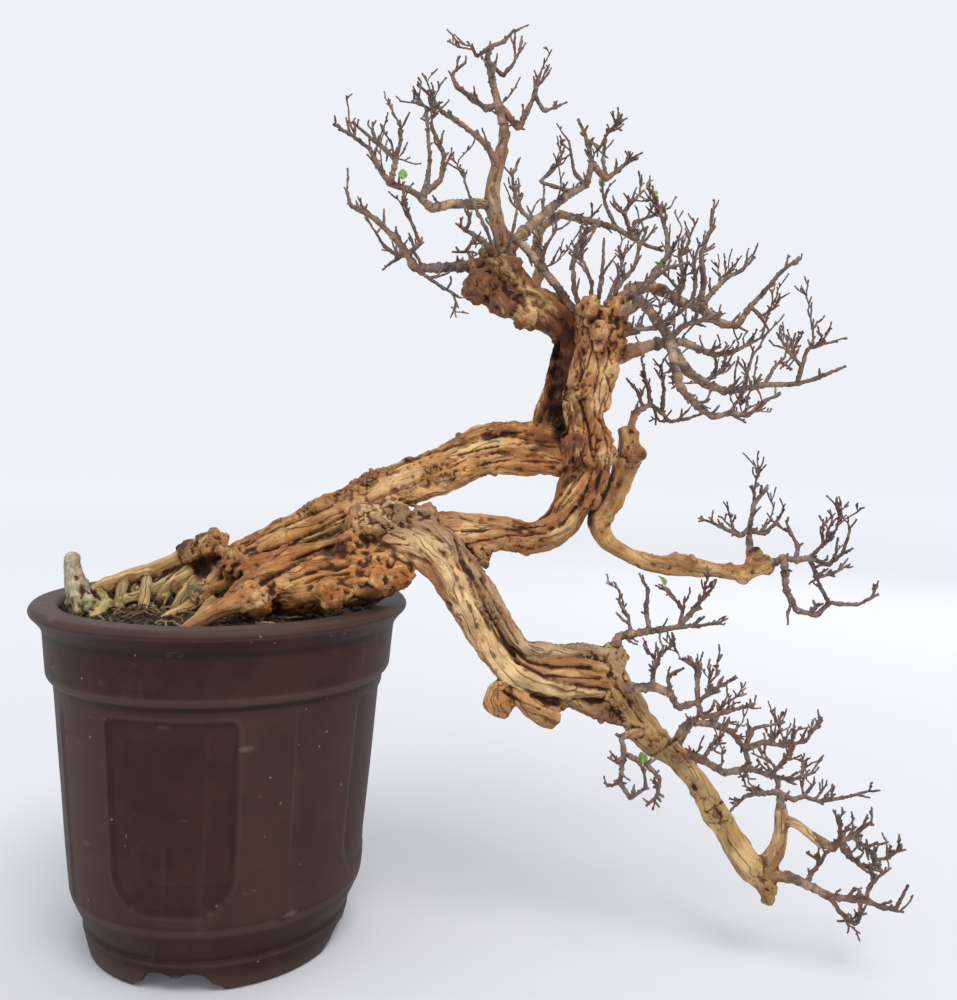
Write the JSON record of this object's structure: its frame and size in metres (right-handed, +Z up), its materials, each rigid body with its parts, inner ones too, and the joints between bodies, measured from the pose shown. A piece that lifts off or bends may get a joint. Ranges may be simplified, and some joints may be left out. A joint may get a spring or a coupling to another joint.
{
  "type": "bonsai tree in a pot",
  "caption": "Semi-cascade bonsai with gnarled golden trunk, a long drooping limb and bare winter twigs, rooted in soil in a deep round brown clay pot with panels and cloud feet.",
  "frame": {"origin": "middle of the whole object's footprint, on the surface that the pot's feet stand on", "axes": "+Z up; the side that the picture shows faces -Y; the tree leans and cascades towards +X, with the pot on the -X side"},
  "size_m": [0.5602, 0.2392, 0.6005],
  "materials": {
    "clay": "satin",
    "soil": "matte",
    "old_wood": "matte",
    "twig": "matte",
    "leaf": "satin",
    "net": "matte"
  },
  "bodies": {
    "root": {"drain_mesh": "net", "leaf_crown_middle": "leaf", "leaf_crown_right": "leaf", "leaf_crown_top": "leaf", "leaf_elbow": "leaf", "leaf_inner": "leaf", "leaf_left": "leaf", "leaf_tail": "leaf", "pot": "clay", "soil": "soil", "spray_apex": "twig", "spray_crown_left": "twig", "spray_crown_right": "twig", "spray_elbow_high": "twig", "spray_elbow_low": "twig", "spray_fork_right": "twig", "spray_fork_top": "twig", "spray_inner_left": "twig", "spray_left_high": "twig", "spray_left_low": "twig", "spray_middle": "twig", "spray_middle_top": "twig", "spray_right_crossing": "twig", "spray_right_low": "twig", "spray_right_top": "twig", "spray_shoulder": "twig", "spray_tail_high": "twig", "spray_tail_left": "twig", "spray_tail_middle": "twig", "spray_tip": "twig", "spray_under_crown": "twig", "trunk": "old_wood"}
  },
  "joints": []
}
